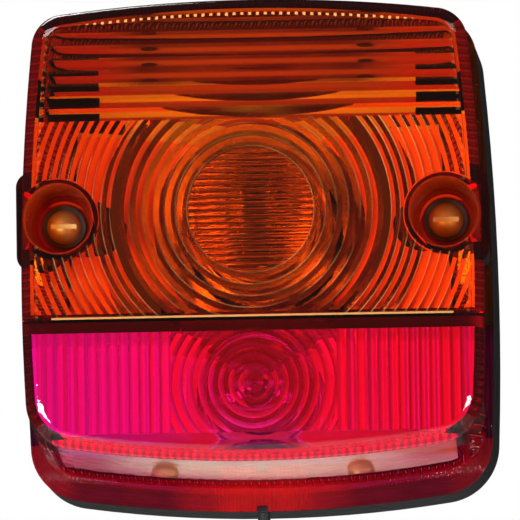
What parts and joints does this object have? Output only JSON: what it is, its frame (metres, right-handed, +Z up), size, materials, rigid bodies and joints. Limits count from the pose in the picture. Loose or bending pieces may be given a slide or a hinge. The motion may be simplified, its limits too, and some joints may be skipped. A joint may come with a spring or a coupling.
{
  "type": "rear combination lamp",
  "caption": "Square rear lamp for a tractor or trailer: amber indicator above a red stop and tail light, clear number plate window below, black tray with studs behind.",
  "frame": {"origin": "midpoint between the two mounting studs, on the housing's flat mounting face", "axes": "+X to the right of a person who looks at the lens, +Z up, +Y backwards along the studs into the vehicle"},
  "size_m": [0.0982, 0.082, 0.105],
  "materials": {
    "amber_plastic": "clear amber acrylic, glossy",
    "red_plastic": "clear red acrylic, glossy",
    "clear_plastic": "clear acrylic, glossy",
    "black_plastic": "moulded black, satin",
    "black_rubber": "soft seal, matte",
    "reflector_coat": "bright metallised moulding",
    "plated_steel": "yellow passivated zinc",
    "brass": "plain brass",
    "nickel_brass": "nickel plated brass",
    "bulb_glass": "clear blown glass",
    "black_glass": "black glass insulator",
    "solder": "dull solder",
    "tungsten": "grey wire"
  },
  "bodies": {
    "root": {"amber_lens": "amber_plastic", "red_lens": "red_plastic", "plate_window": "clear_plastic", "housing": "black_plastic", "lens_gasket": "black_rubber", "cable_grommet": "black_rubber", "lens_screw_washers": "black_rubber", "reflector": "reflector_coat", "lens_screws": "plated_steel", "reflector_screws": "plated_steel", "mounting_studs": "plated_steel", "contact_rivets": "brass", "indicator_contact": "brass", "stop_contact": "brass", "tail_contact": "brass", "earth_strip": "brass", "indicator_socket": "nickel_brass", "stop_tail_socket": "nickel_brass", "indicator_bulb_cap": "nickel_brass", "stop_tail_bulb_cap": "nickel_brass", "indicator_bulb_base": "black_glass", "stop_tail_bulb_base": "black_glass", "indicator_bulb_contacts": "solder", "stop_tail_bulb_contacts": "solder", "indicator_bulb_glass": "bulb_glass", "stop_tail_bulb_glass": "bulb_glass", "indicator_bulb_filament": "tungsten", "stop_tail_bulb_filaments": "tungsten"}
  },
  "joints": []
}
